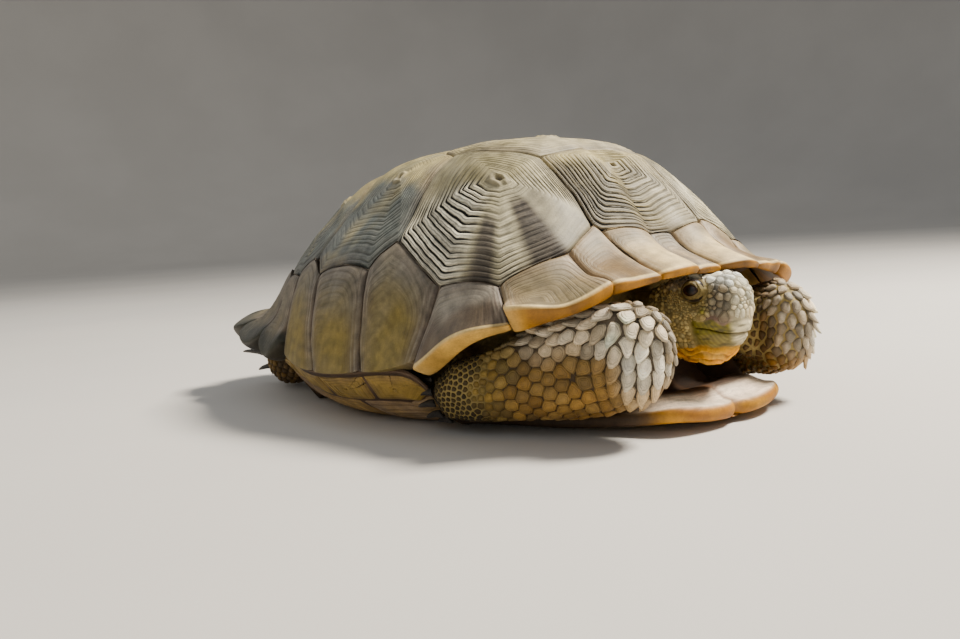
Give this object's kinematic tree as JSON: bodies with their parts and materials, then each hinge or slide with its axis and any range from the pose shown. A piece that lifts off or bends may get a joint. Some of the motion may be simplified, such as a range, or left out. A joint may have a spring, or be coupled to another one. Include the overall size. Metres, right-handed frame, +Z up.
{
  "type": "tortoise",
  "caption": "Life-size still model of a desert tortoise resting on its lower shell: domed ringed plates, flared rim, scaled forelegs drawn in, head out under the front lip.",
  "frame": {"origin": "on the floor under the middle of the whole animal's box", "axes": "+Z up, the head points along -Y, the animal's right side is at -X"},
  "size_m": [0.2036, 0.2761, 0.1134],
  "materials": {
    "shell_plates": "dry ringed horn",
    "shell_rim": "worn smooth horn",
    "plastron": "worn horn",
    "skin": "dry folded skin",
    "head_skin": "small dry scales",
    "scaled_skin": "overlapping dry scales",
    "eyes": "wet dark",
    "claws": "worn horn"
  },
  "bodies": {
    "root": {"costal_left_1": "shell_plates", "costal_left_2": "shell_plates", "costal_left_3": "shell_plates", "costal_left_4": "shell_plates", "costal_right_1": "shell_plates", "costal_right_2": "shell_plates", "costal_right_3": "shell_plates", "costal_right_4": "shell_plates", "eye_left": "eyes", "eye_right": "eyes", "foreclaw_left_1": "claws", "foreclaw_left_2": "claws", "foreclaw_left_3": "claws", "foreclaw_left_4": "claws", "foreclaw_left_5": "claws", "foreclaw_right_1": "claws", "foreclaw_right_2": "claws", "foreclaw_right_3": "claws", "foreclaw_right_4": "claws", "foreclaw_right_5": "claws", "foreleg_left_lower": "scaled_skin", "foreleg_left_upper": "skin", "foreleg_right_lower": "scaled_skin", "foreleg_right_upper": "skin", "head": "head_skin", "hindclaw_left_1": "claws", "hindclaw_left_2": "claws", "hindclaw_left_3": "claws", "hindclaw_left_4": "claws", "hindclaw_right_1": "claws", "hindclaw_right_2": "claws", "hindclaw_right_3": "claws", "hindclaw_right_4": "claws", "hindleg_left_lower": "scaled_skin", "hindleg_left_upper": "skin", "hindleg_right_lower": "scaled_skin", "hindleg_right_upper": "skin", "marginals_left_bridge": "shell_rim", "marginals_left_front": "shell_rim", "marginals_left_rear": "shell_rim", "marginals_right_bridge": "shell_rim", "marginals_right_front": "shell_rim", "marginals_right_rear": "shell_rim", "neck": "skin", "nuchal": "shell_rim", "plastron": "plastron", "supracaudal": "shell_rim", "tail": "skin", "trunk": "skin", "vertebral_1": "shell_plates", "vertebral_2": "shell_plates", "vertebral_3": "shell_plates", "vertebral_4": "shell_plates", "vertebral_5": "shell_plates"}
  },
  "joints": []
}
